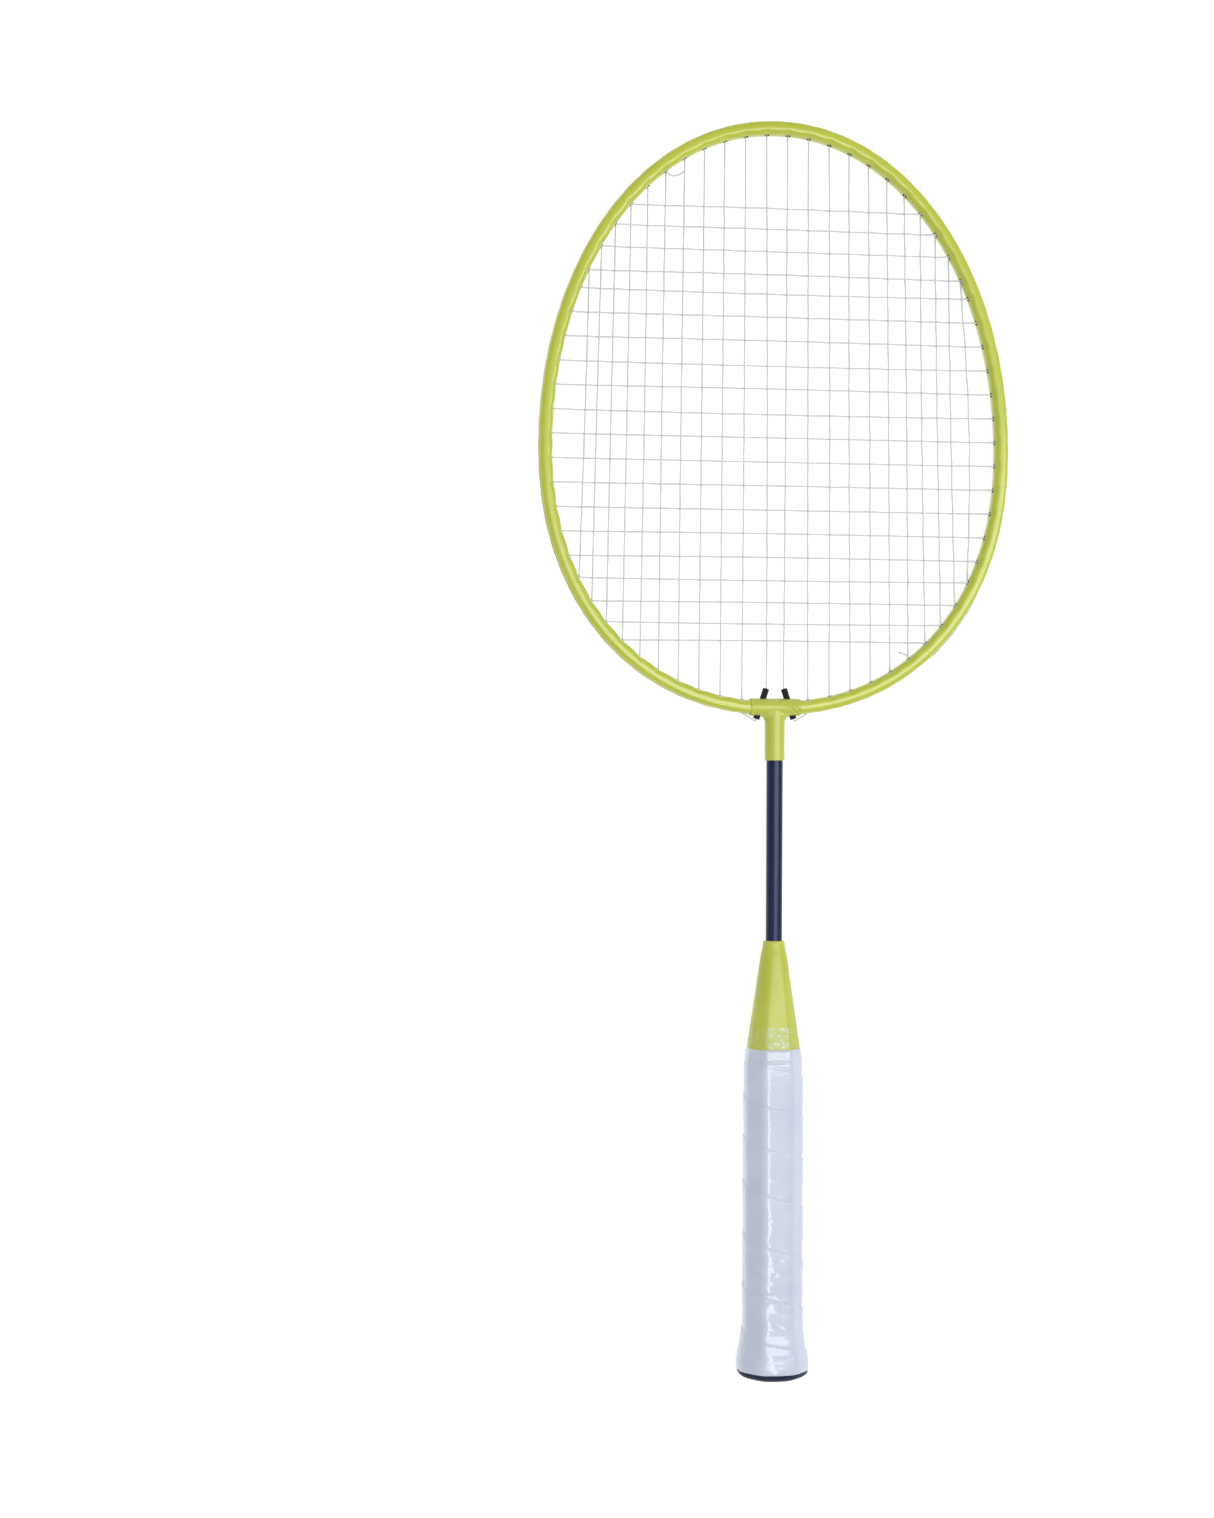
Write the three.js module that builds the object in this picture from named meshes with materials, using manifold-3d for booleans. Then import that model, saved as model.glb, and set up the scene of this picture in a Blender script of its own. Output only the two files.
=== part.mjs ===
// A junior badminton racket lying flat, string bed level.
// Millimetres. Every shape below is drawn with Y measured from the butt end towards the head's tip,
// X across the head, and Z = 0 in the plane of the head. The last lines move the whole racket so that
// its origin is the middle of its footprint, on the surface that it lies on.

import * as THREE from "three";
import { mergeVertices } from "three/addons/utils/BufferGeometryUtils.js";
import Module from "manifold-3d";

const wasm = await Module();
wasm.setup();

// ---------------------------------------------------------------- driving dimensions

const RACKET_LENGTH = 530;
const GAP = 0.15;

// Head: a steel tube bent to an egg shape, two half superellipses on one width.
const HEAD_CENTRE_Y = 391.9;
const HEAD_HALF_WIDTH = 97.6;
const HEAD_TOP_POWER = 2.04;
const HEAD_BOTTOM_SEMI = 109.1;
const HEAD_BOTTOM_POWER = 2.15;
const HEAD_STEPS = 48;

// Frame tube section, a squarish oval: u through the racket, v outwards from the bed.
const TUBE_HALF_DEPTH = 3.8;
const TUBE_HALF_WIDTH = 2.95;
const TUBE_POWER = 2.7;
const TUBE_WALL = 0.5;
const INNER_CORNER_DEGREES = 25;
const GROOVE_HALF_WIDTH = 1.1;
const GROOVE_DEPTH = 1;
const GROOVE_FLOOR_HALF_WIDTH = 0.95;
const LIP_SHARE = 1 - (GROOVE_HALF_WIDTH / TUBE_HALF_DEPTH) ** TUBE_POWER;
const LIP_OUT = TUBE_HALF_WIDTH * LIP_SHARE ** (1 / TUBE_POWER);
const GROOVE_FLOOR = LIP_OUT - GROOVE_DEPTH;
const INNER_CORNER_SHARE = Math.cos(THREE.MathUtils.degToRad(INNER_CORNER_DEGREES));
const INNER_FACE = TUBE_HALF_WIDTH * INNER_CORNER_SHARE ** (2 / TUBE_POWER);
const HEAD_TOP_SEMI = RACKET_LENGTH - HEAD_CENTRE_Y - LIP_OUT;
const STRING_HOLE_RADIUS = 1.2;
const DRILL_OVERRUN = 1.5;
const MERGE_TOLERANCE = 0.01;

// Strings: 22 mains run along the racket, 20 crosses are woven through them.
const STRING_RADIUS = 0.35;
const MAINS_PER_SIDE = 11;
const CROSSES = 20;
const SHARED_CROSSES = 4;
const MAIN_FAN_STEP = THREE.MathUtils.degToRad(5.5);
const MAIN_FAN_TOP = 94;
const MAIN_FAN_BOTTOM = 98.4;
const CROSS_FIRST_OWN_Y = 457.7;
const CROSS_PITCH = 10.16;
const MAIN_Z = -0.4;
const CROSS_Z = 0.4;
const WEAVE = 0.9;
const CROSSING_TO_MOUTH = 2;
const MOUTH = -(INNER_FACE + GAP);
const IN_GROOVE = GROOVE_FLOOR + STRING_RADIUS + 0.2;
const OVER_GROOVE = IN_GROOVE + 0.85;

// Throat: a T-joint that takes both ends of the frame tube and the top of the shaft.
const SLEEVE_HALF_LENGTH = 10.65;
const SLEEVE_RADIUS = 3.9;
const SLEEVE_BORE = 3.5;
const SLEEVE_DEPTH_RATIO = 1.15;
const FRAME_END_X = 1;
const STEM_BOTTOM_Y = 260.8;
const STEM_RADIUS = 4.18;
const THROAT_TUBE_RADIUS = 1.4;
const THROAT_TUBE_BORE = 0.65;
const THROAT_TUBE_TOP = new THREE.Vector3(3.8, 291, 0);
const THROAT_TUBE_BOTTOM = new THREE.Vector3(8, 278.3, 0);
const MAIN_PAST_TUBE_TOP = 0.4;
const MAIN_PAST_TUBE_BOTTOM = 1.1;

// Shaft and handle.
const SHAFT_RADIUS = 3.45;
const SHAFT_BORE = 2.85;
const SHAFT_BOTTOM_Y = 60;
const SHAFT_TOP_Y = 280;
const CONE_TOP_Y = 184.9;
const CONE_BASE_Y = 139.8;
const CONE_BASE_HALF_WIDTH = 10.85;
const CONE_FOOT_HALF_WIDTH = 10.4;
const CONE_FOOT_Y = 143.1;
const HANDLE_DEPTH_RATIO = 0.907;
const FRONT_FLAT_RATIO = 1.136;
const FLARE_HALF_WIDTH = 15.4;
const WRAP_THICKNESS = 1.2;
const WRAP_TOP_Y = 139.5;
const WRAP_BOTTOM_Y = 5;
const SPIGOT_RADIUS = 7.3;
const SPIGOT_TOP_Y = 150;
const PIN_Y = 95;
const PIN_RADIUS = 1;
const PIN_HALF_LENGTH = 9.5;
const TACK_Y = 26;
const TACK_HEAD_RADIUS = 2.2;
const TACK_HEAD_THICKNESS = 0.7;
const TACK_NAIL_RADIUS = 0.6;
const TACK_LENGTH = 7;
const TAPE_TOP_Y = 149.1;
const TAPE_BOTTOM_Y = 134.7;
const TAPE_THICKNESS = 0.2;
const PLUG_RADIUS = 5;
const PLUG_DEPTH = 14;
const REST_HEIGHT = FLARE_HALF_WIDTH * HANDLE_DEPTH_RATIO;

// ---------------------------------------------------------------- solids and curves

// A run of straight lines whose corners fall exactly on the steps of an extrusion.
class Route extends THREE.Curve {
  constructor(points) {
    super();
    this.points = points;
  }

  getPoint(t, target = new THREE.Vector3()) {
    const last = this.points.length - 1;
    const along = t * last;
    const i = Math.min(Math.floor(along + 1e-6), last - 1);
    return target.lerpVectors(this.points[i], this.points[i + 1], along - i);
  }

  getPointAt(t, target) {
    return this.getPoint(t, target);
  }

  getTangentAt(t, target = new THREE.Vector3()) {
    const last = this.points.length - 1;
    const i = Math.round(t * last);
    const before = this.points[Math.max(i - 1, 0)];
    const here = this.points[i];
    const after = this.points[Math.min(i + 1, last)];
    const arriving = here.clone().sub(before).normalize();
    const leaving = after.clone().sub(here).normalize();
    return target.addVectors(arriving, leaving).normalize();
  }
}

function sweep(shape, points) {
  return new THREE.ExtrudeGeometry(shape, {
    extrudePath: new Route(points),
    steps: points.length - 1,
    bevelEnabled: false,
  });
}

function ringShape(sides, radius) {
  const points = [];
  for (let i = 0; i < sides; i++) {
    const angle = (i * 2 * Math.PI) / sides;
    points.push(new THREE.Vector2(radius * Math.cos(angle), radius * Math.sin(angle)));
  }
  return new THREE.Shape(points);
}

// Turned body about the racket's long axis, from a profile of [radius, y] pairs.
function turned(profile, sides) {
  const points = profile.map(([radius, y]) => new THREE.Vector2(radius, y));
  return new THREE.LatheGeometry(points, sides, Math.PI / sides);
}

// Eight-sided body from a profile of [half width across flats, y] pairs. It is flatter through the
// racket than across it, and its front and back flats are wider than its side ones.
function octagonal(profile) {
  const toCorner = 1 / Math.cos(Math.PI / 8);
  const geometry = turned(profile.map(([half, y]) => [half * toCorner, y]), 8);
  const corners = geometry.attributes.position;
  for (let i = 0; i < corners.count; i++) {
    if (Math.abs(corners.getZ(i)) > Math.abs(corners.getX(i))) {
      corners.setX(i, corners.getX(i) * FRONT_FLAT_RATIO);
    }
  }
  return geometry.scale(1, 1, HANDLE_DEPTH_RATIO);
}

// Round bar between two points.
function bar(from, to, radius, sides) {
  const axis = to.clone().sub(from);
  const geometry = new THREE.CylinderGeometry(radius, radius, axis.length(), sides);
  const upright = new THREE.Vector3(0, 1, 0);
  const turn = new THREE.Quaternion().setFromUnitVectors(upright, axis.clone().normalize());
  const middle = from.clone().add(to).multiplyScalar(0.5);
  return geometry.applyQuaternion(turn).translate(middle.x, middle.y, middle.z);
}

function toSolid(geometry) {
  const bare = geometry.clone();
  bare.deleteAttribute("normal");
  bare.deleteAttribute("uv");
  const merged = mergeVertices(bare, 1e-4);
  const corners = merged.index.array;
  const triangles = [];
  for (let i = 0; i < corners.length; i += 3) {
    const [a, b, c] = [corners[i], corners[i + 1], corners[i + 2]];
    if (a !== b && b !== c && c !== a) {
      triangles.push(a, b, c);
    }
  }
  const mesh = new wasm.Mesh({
    numProp: 3,
    vertProperties: new Float32Array(merged.attributes.position.array),
    triVerts: new Uint32Array(triangles),
  });
  return new wasm.Manifold(mesh);
}

function toGeometry(solid) {
  const mesh = solid.getMesh();
  const geometry = new THREE.BufferGeometry();
  geometry.setAttribute("position", new THREE.BufferAttribute(mesh.vertProperties, 3));
  geometry.setIndex(new THREE.BufferAttribute(mesh.triVerts, 1));
  return geometry;
}

function cutAll(body, cutters) {
  return cutters.reduce((left, cutter) => left.subtract(toSolid(cutter)), toSolid(body));
}

function mesh(name, geometry, color, roughness, metalness) {
  const flat = geometry.index ? geometry.toNonIndexed() : geometry;
  flat.computeVertexNormals();
  const made = new THREE.Mesh(flat, new THREE.MeshStandardMaterial({ color, roughness, metalness }));
  made.name = name;
  return made;
}

// ---------------------------------------------------------------- head outline and its holes

// Angle 0 is the right side of the head and a quarter turn is its tip.
function headPower(angle) {
  return Math.sin(angle) > 0 ? HEAD_TOP_POWER : HEAD_BOTTOM_POWER;
}

function headSemi(angle) {
  return Math.sin(angle) > 0 ? HEAD_TOP_SEMI : HEAD_BOTTOM_SEMI;
}

function headCentreline(angle) {
  const exponent = 2 / headPower(angle);
  const x = Math.sign(Math.cos(angle)) * Math.abs(Math.cos(angle)) ** exponent;
  const y = Math.sign(Math.sin(angle)) * Math.abs(Math.sin(angle)) ** exponent;
  return new THREE.Vector3(HEAD_HALF_WIDTH * x, HEAD_CENTRE_Y + headSemi(angle) * y, 0);
}

function headNormal(angle) {
  const power = headPower(angle);
  const semi = headSemi(angle);
  const point = headCentreline(angle);
  const x = Math.abs(point.x / HEAD_HALF_WIDTH) ** (power - 1) / HEAD_HALF_WIDTH;
  const y = Math.abs((point.y - HEAD_CENTRE_Y) / semi) ** (power - 1) / semi;
  return new THREE.Vector3(Math.sign(point.x) * x, Math.sign(point.y - HEAD_CENTRE_Y) * y, 0).normalize();
}

// A string hole, drilled square to the frame tube. out is the distance from the tube's centreline.
class Hole {
  constructor(angle) {
    this.centre = headCentreline(angle);
    this.normal = headNormal(angle);
  }

  at(out, z, side = 1) {
    const point = this.centre.clone().addScaledVector(this.normal, out);
    return new THREE.Vector3(point.x * side, point.y, z);
  }
}

// The hole on the right side whose mouth has the wanted coordinate on the given axis.
function holeWhere(axis, wanted, fromAngle, toAngle) {
  let low = fromAngle;
  let high = toAngle;
  const rising = new Hole(high).at(MOUTH, 0)[axis] > new Hole(low).at(MOUTH, 0)[axis];
  for (let i = 0; i < 40; i++) {
    const middle = (low + high) / 2;
    const isAbove = new Hole(middle).at(MOUTH, 0)[axis] > wanted;
    if (isAbove === rising) {
      high = middle;
    } else {
      low = middle;
    }
  }
  return new Hole((low + high) / 2);
}

const QUARTER = Math.PI / 2;
const topHoles = [];
const bottomHoles = [];
for (let i = 0; i < MAINS_PER_SIDE; i++) {
  const fan = Math.sin(MAIN_FAN_STEP * (i + 0.5));
  topHoles.push(holeWhere("x", MAIN_FAN_TOP * fan, 0.01, QUARTER - 0.01));
  bottomHoles.push(holeWhere("x", MAIN_FAN_BOTTOM * fan, -QUARTER + 0.01, -0.01));
}

// The first and last crosses share the outer mains' holes. The rest have holes of their own.
const crossHoles = topHoles.slice(MAINS_PER_SIDE - SHARED_CROSSES);
for (let i = 0; i < CROSSES - 2 * SHARED_CROSSES; i++) {
  const y = CROSS_FIRST_OWN_Y - i * CROSS_PITCH;
  crossHoles.push(holeWhere("y", y, -QUARTER + 0.01, QUARTER - 0.01));
}
crossHoles.push(...bottomHoles.slice(MAINS_PER_SIDE - SHARED_CROSSES).reverse());

// ---------------------------------------------------------------- head frame

// The tube runs straight inside the T-joint, at the height its outline has where it leaves the sleeve.
const SOCKET_Y = holeWhere("x", SLEEVE_HALF_LENGTH, -QUARTER + 0.01, -0.01).centre.y;

function frameRoute() {
  const points = [new THREE.Vector3(-FRAME_END_X, SOCKET_Y, 0)];
  const bend = Math.asin(((HEAD_CENTRE_Y - SOCKET_Y) / HEAD_BOTTOM_SEMI) ** (HEAD_BOTTOM_POWER / 2));
  const start = -Math.PI + bend;
  const end = -2 * Math.PI - bend;
  for (let i = 0; i <= HEAD_STEPS; i++) {
    const angle = start + ((end - start) * i) / HEAD_STEPS;
    points.push(headCentreline(angle));
  }
  points.push(new THREE.Vector3(FRAME_END_X, SOCKET_Y, 0));
  return points;
}

function squarish(angle, halfDepth, halfWidth) {
  const u = Math.sign(Math.sin(angle)) * Math.abs(Math.sin(angle)) ** (2 / TUBE_POWER);
  const v = Math.sign(Math.cos(angle)) * Math.abs(Math.cos(angle)) ** (2 / TUBE_POWER);
  return new THREE.Vector2(halfDepth * u, halfWidth * v);
}

// Section of the rolled tube, with the groove that the outside loops of string lie in.
function tubeSection() {
  const outer = [
    new THREE.Vector2(-GROOVE_HALF_WIDTH, LIP_OUT),
    new THREE.Vector2(-GROOVE_FLOOR_HALF_WIDTH, GROOVE_FLOOR),
    new THREE.Vector2(GROOVE_FLOOR_HALF_WIDTH, GROOVE_FLOOR),
    new THREE.Vector2(GROOVE_HALF_WIDTH, LIP_OUT),
  ];
  const innerCorners = [180 - INNER_CORNER_DEGREES, 180 + INNER_CORNER_DEGREES];
  for (const degrees of [52, 87, 120, ...innerCorners, 240, 273, 308]) {
    outer.push(squarish(THREE.MathUtils.degToRad(degrees), TUBE_HALF_DEPTH, TUBE_HALF_WIDTH));
  }
  const inner = [];
  for (const degrees of [60, 95, 140, 220, 265, 300]) {
    const angle = THREE.MathUtils.degToRad(degrees);
    const point = squarish(angle, TUBE_HALF_DEPTH - TUBE_WALL, TUBE_HALF_WIDTH - TUBE_WALL);
    inner.push(point.min(new THREE.Vector2(TUBE_HALF_DEPTH, GROOVE_FLOOR - TUBE_WALL)));
  }
  const shape = new THREE.Shape(outer);
  shape.holes.push(new THREE.Path(inner.reverse()));
  return shape;
}

function throatTubeBar(side, radius, extra) {
  const mirror = new THREE.Vector3(side, 1, 1);
  const top = THROAT_TUBE_TOP.clone().multiply(mirror);
  const bottom = THROAT_TUBE_BOTTOM.clone().multiply(mirror);
  const stretch = top.clone().sub(bottom).normalize().multiplyScalar(extra);
  return bar(bottom.sub(stretch), top.add(stretch), radius, 10);
}

function throatTubeHoles() {
  return [-1, 1].map((side) => throatTubeBar(side, THROAT_TUBE_RADIUS + GAP, 2));
}

function headFrame() {
  const drillReach = TUBE_HALF_WIDTH + DRILL_OVERRUN;
  const drills = throatTubeHoles();
  const ownCrossHoles = crossHoles.slice(SHARED_CROSSES, CROSSES - SHARED_CROSSES);
  for (const hole of [...topHoles, ...ownCrossHoles, ...bottomHoles.slice(1)]) {
    for (const side of [-1, 1]) {
      drills.push(bar(hole.at(-drillReach, 0, side), hole.at(drillReach, 0, side), STRING_HOLE_RADIUS, 6));
    }
  }
  const body = cutAll(sweep(tubeSection(), frameRoute()), drills).simplify(MERGE_TOLERANCE);
  return mesh("head_frame", toGeometry(body), 0xb8c152, 0.32, 0.1);
}

// ---------------------------------------------------------------- throat

function tJoint() {
  const sleeveHalf = new THREE.Vector3(SLEEVE_HALF_LENGTH, 0, 0);
  const boreHalf = new THREE.Vector3(SLEEVE_HALF_LENGTH + 1, 0, 0);
  const socket = new THREE.Vector3(0, SOCKET_Y, 0);
  const sleeve = bar(socket.clone().sub(sleeveHalf), socket.clone().add(sleeveHalf), SLEEVE_RADIUS, 20);
  const bore = bar(socket.clone().sub(boreHalf), socket.clone().add(boreHalf), SLEEVE_BORE + GAP / 2, 20);
  [sleeve, bore].forEach((round) => round.scale(1, 1, SLEEVE_DEPTH_RATIO));
  const lip = 0.5;
  const stem = turned([
    [0, STEM_BOTTOM_Y],
    [STEM_RADIUS - lip / 2, STEM_BOTTOM_Y],
    [STEM_RADIUS, STEM_BOTTOM_Y + lip],
    [STEM_RADIUS, SOCKET_Y],
    [0, SOCKET_Y],
  ], 24);
  const filletHalfWidth = 6.4;
  const fillet = turned([
    [0, SOCKET_Y - 8],
    [STEM_RADIUS, SOCKET_Y - 8],
    [4.9, SOCKET_Y - 5.2],
    [filletHalfWidth, SOCKET_Y - 3.2],
    [filletHalfWidth, SOCKET_Y],
    [0, SOCKET_Y],
  ], 24).scale(1, 1, (SLEEVE_RADIUS - GAP) / filletHalfWidth);
  const stemBore = bar(
    new THREE.Vector3(0, STEM_BOTTOM_Y - 1, 0), new THREE.Vector3(0, SOCKET_Y, 0), SHAFT_RADIUS + GAP, 24);
  const body = [stem, fillet].reduce((sum, piece) => sum.add(toSolid(piece)), toSolid(sleeve));
  const bores = [bore, stemBore, ...throatTubeHoles()];
  const joint = bores.reduce((left, cutter) => left.subtract(toSolid(cutter)), body);
  return mesh("t_joint", toGeometry(joint), 0xc2ca68, 0.38, 0.1);
}

function throatTube(name, side) {
  const wall = toSolid(throatTubeBar(side, THROAT_TUBE_RADIUS, 0));
  const tube = wall.subtract(toSolid(throatTubeBar(side, THROAT_TUBE_BORE, 1)));
  return mesh(name, toGeometry(tube), 0x16171a, 0.6, 0);
}

// ---------------------------------------------------------------- strings

// Mains are counted from left to right, and mains beside the middle go down through the throat tubes.
function mainSide(column) {
  return column < MAINS_PER_SIDE ? -1 : 1;
}

function mainIndex(column) {
  return column < MAINS_PER_SIDE ? MAINS_PER_SIDE - 1 - column : column - MAINS_PER_SIDE;
}

function mainTop(column) {
  const hole = topHoles[mainIndex(column)];
  return [hole.at(MOUTH, MAIN_Z, mainSide(column)), hole.at(IN_GROOVE, MAIN_Z, mainSide(column))];
}

function mainBottom(column) {
  const index = mainIndex(column);
  const side = mainSide(column);
  if (index === 0) {
    const mirror = new THREE.Vector3(side, 1, 1);
    const axis = THROAT_TUBE_TOP.clone().sub(THROAT_TUBE_BOTTOM).normalize();
    return [
      THROAT_TUBE_TOP.clone().addScaledVector(axis, MAIN_PAST_TUBE_TOP).multiply(mirror),
      THROAT_TUBE_BOTTOM.clone().addScaledVector(axis, -MAIN_PAST_TUBE_BOTTOM).multiply(mirror),
    ];
  }
  const hole = bottomHoles[index];
  return [hole.at(MOUTH, MAIN_Z, side), hole.at(IN_GROOVE, MAIN_Z, side)];
}

// The left end is tied off in the next cross hole, and the right end runs over the other loops
// and comes in through a hole three mains away, where its cut end sticks out.
function mainString() {
  const lastCrossHole = crossHoles[CROSSES - SHARED_CROSSES - 1];
  const points = [
    lastCrossHole.at(-TUBE_HALF_WIDTH + 1, MAIN_Z, -1),
    lastCrossHole.at(IN_GROOVE, MAIN_Z, -1),
  ];
  for (let column = 0; column < 2 * MAINS_PER_SIDE; column++) {
    const isRising = column % 2 === 0;
    const top = mainTop(column);
    const bottom = mainBottom(column);
    points.push(...(isRising ? [...bottom.reverse(), ...top] : [...top.reverse(), ...bottom]));
  }
  const [exit, ...passed] = bottomHoles.slice(MAINS_PER_SIDE - SHARED_CROSSES - 1).reverse();
  const entry = passed.pop();
  const first = exit.at(OVER_GROOVE, 0).lerp(passed[0].at(OVER_GROOVE, 0), 0.6);
  points.push(first, ...passed.map((hole) => hole.at(OVER_GROOVE, 0)));
  points.push(entry.at(IN_GROOVE, CROSS_Z), entry.at(MOUTH, CROSS_Z));
  const end = entry.at(MOUTH, CROSS_Z);
  points.push(end.clone().add(new THREE.Vector3(-1.6, 1.5, 0.2)));
  points.push(end.clone().add(new THREE.Vector3(-4.6, 2.6, 0.4)));
  return mesh("main_string", sweep(ringShape(6, STRING_RADIUS), points), 0xdfe2e8, 0.35, 0);
}

function mainAt(column, y) {
  const [top] = mainTop(column);
  const [bottom] = mainBottom(column);
  return top.clone().lerp(bottom, (top.y - y) / (top.y - bottom.y));
}

// Points where one cross passes over or under the mains, in the direction it travels.
function crossingPoints(row, y, direction) {
  const points = [];
  for (let column = 0; column < 2 * MAINS_PER_SIDE; column++) {
    const isInside = y < mainTop(column)[0].y - CROSSING_TO_MOUTH
      && y > mainBottom(column)[0].y + CROSSING_TO_MOUTH;
    if (isInside) {
      const lift = (column + row) % 2 === 0 ? WEAVE : -WEAVE;
      points.push(mainAt(column, y).add(new THREE.Vector3(0, 0, lift)));
    }
  }
  return direction > 0 ? points : points.reverse();
}

// Both ends are tied off over the two holes beside them. The first one's tail lies on the next main.
function crossString() {
  const firstTail = topHoles[MAINS_PER_SIDE - SHARED_CROSSES - 2];
  const tailMouth = firstTail.at(MOUTH, CROSS_Z, -1);
  const tail = [[7.9, 0.5], [5.6, -1.1], [3.2, -1.7], [1.2, -1.2]];
  const points = tail.map(([x, y]) => tailMouth.clone().add(new THREE.Vector3(x, y, 0.1)));
  points.push(tailMouth, firstTail.at(IN_GROOVE, CROSS_Z, -1));
  points.push(topHoles[MAINS_PER_SIDE - SHARED_CROSSES - 1].at(IN_GROOVE, CROSS_Z, -1));
  for (let row = 0; row < CROSSES; row++) {
    const direction = row % 2 === 0 ? 1 : -1;
    const hole = crossHoles[row];
    points.push(hole.at(IN_GROOVE, CROSS_Z, -direction), hole.at(MOUTH, CROSS_Z, -direction));
    points.push(...crossingPoints(row, hole.at(MOUTH, 0).y, direction));
    points.push(hole.at(MOUTH, CROSS_Z, direction), hole.at(IN_GROOVE, CROSS_Z, direction));
  }
  const lastTie = bottomHoles[MAINS_PER_SIDE - SHARED_CROSSES - 1];
  points.push(lastTie.at(IN_GROOVE, CROSS_Z, -1), lastTie.at(-TUBE_HALF_WIDTH + 1, CROSS_Z, -1));
  return mesh("cross_string", sweep(ringShape(4, STRING_RADIUS), points), 0xdfe2e8, 0.35, 0);
}

// ---------------------------------------------------------------- shaft and handle

function pinHole(radius) {
  const half = new THREE.Vector3(PIN_HALF_LENGTH + GAP, 0, 0);
  const middle = new THREE.Vector3(0, PIN_Y, 0);
  return bar(middle.clone().sub(half), middle.clone().add(half), radius, 10);
}

function shaft() {
  const tube = turned([
    [SHAFT_BORE, SHAFT_BOTTOM_Y],
    [SHAFT_RADIUS, SHAFT_BOTTOM_Y],
    [SHAFT_RADIUS, SHAFT_TOP_Y],
    [SHAFT_BORE, SHAFT_TOP_Y],
    [SHAFT_BORE, SHAFT_BOTTOM_Y],
  ], 24);
  const body = cutAll(tube, [pinHole(PIN_RADIUS + GAP)]);
  return mesh("shaft", toGeometry(body), 0x1f2746, 0.22, 0.3);
}

function shaftBore(fromY, toY) {
  return bar(new THREE.Vector3(0, fromY, 0), new THREE.Vector3(0, toY, 0), SHAFT_RADIUS + GAP, 24);
}

// Half widths of the cone across its flats, from its base up to the rounded collar.
const CONE_PROFILE = [
  [CONE_BASE_HALF_WIDTH, CONE_BASE_Y],
  [CONE_FOOT_HALF_WIDTH, CONE_FOOT_Y],
  [5.6, 178.6],
  [4.8, 182],
  [4.65, CONE_TOP_Y - 0.9],
  [4.1, CONE_TOP_Y],
];

function cone() {
  const outside = octagonal([[0, CONE_BASE_Y], ...CONE_PROFILE, [0, CONE_TOP_Y]]);
  const seatStart = new THREE.Vector3(0, CONE_BASE_Y - 1, 0);
  const seatEnd = new THREE.Vector3(0, SPIGOT_TOP_Y + 2 * GAP, 0);
  const seat = bar(seatStart, seatEnd, SPIGOT_RADIUS + GAP, 24);
  const body = cutAll(outside, [seat, shaftBore(CONE_BASE_Y, CONE_TOP_Y + 1)]);
  return mesh("cone", toGeometry(body), 0xb4bb4a, 0.35, 0);
}

// Half widths of the grip across its flats, from the flared butt up.
const WRAP_PROFILE = [
  [FLARE_HALF_WIDTH, WRAP_BOTTOM_Y],
  [FLARE_HALF_WIDTH, 7.2],
  [15.1, 9.2],
  [14.4, 13],
  [13.6, 17.2],
  [12.9, 21],
  [12.6, 27],
  [12.4, 124],
  [11.5, WRAP_TOP_Y],
];

function halfWidthAt(profile, y) {
  const next = profile.findIndex((point) => point[1] > y);
  const [low, high] = [profile[next - 1], profile[next]];
  return THREE.MathUtils.mapLinear(y, low[1], high[1], low[0], high[0]);
}

function gripWrap() {
  const inside = WRAP_PROFILE.map(([half, y]) => [half - WRAP_THICKNESS, y]).reverse();
  const sleeve = octagonal([...WRAP_PROFILE, ...inside, WRAP_PROFILE[0]]);
  return mesh("grip_wrap", sleeve, 0xd3d9e6, 0.45, 0);
}

// The tack's head is level with the core where the core is narrowest under it.
function tackBar(radius, depth, reach) {
  const x = halfWidthAt(WRAP_PROFILE, TACK_Y + TACK_HEAD_RADIUS) - WRAP_THICKNESS - GAP;
  return bar(new THREE.Vector3(x - depth, TACK_Y, 0), new THREE.Vector3(x + reach, TACK_Y, 0), radius, 10);
}

function handleCore() {
  const skin = WRAP_PROFILE.map(([half, y]) => [half - WRAP_THICKNESS - GAP, y]);
  const body = toSolid(octagonal([[0, WRAP_BOTTOM_Y], ...skin, [0, WRAP_TOP_Y]]));
  const spigot = turned([[0, WRAP_TOP_Y - 1], [SPIGOT_RADIUS, WRAP_TOP_Y - 1],
    [SPIGOT_RADIUS, SPIGOT_TOP_Y], [0, SPIGOT_TOP_Y]], 24);
  const plugBore = bar(
    new THREE.Vector3(0, 0, 0), new THREE.Vector3(0, WRAP_BOTTOM_Y + PLUG_DEPTH, 0), PLUG_RADIUS + GAP, 16);
  const cutters = [
    shaftBore(SHAFT_BOTTOM_Y - 2, SPIGOT_TOP_Y + 1),
    plugBore,
    pinHole(PIN_RADIUS + GAP),
    tackBar(TACK_HEAD_RADIUS + GAP, TACK_HEAD_THICKNESS + GAP, 1),
    tackBar(TACK_NAIL_RADIUS + GAP, TACK_LENGTH + GAP, 1),
  ];
  const core = cutters.reduce((left, cutter) => left.subtract(toSolid(cutter)), body.add(toSolid(spigot)));
  return mesh("handle_core", toGeometry(core), 0xc9a477, 0.75, 0);
}

function handlePin() {
  const half = new THREE.Vector3(PIN_HALF_LENGTH, 0, 0);
  const middle = new THREE.Vector3(0, PIN_Y, 0);
  const pin = bar(middle.clone().sub(half), middle.clone().add(half), PIN_RADIUS, 10);
  return mesh("handle_pin", pin, 0xa8abb0, 0.3, 1);
}

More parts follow.
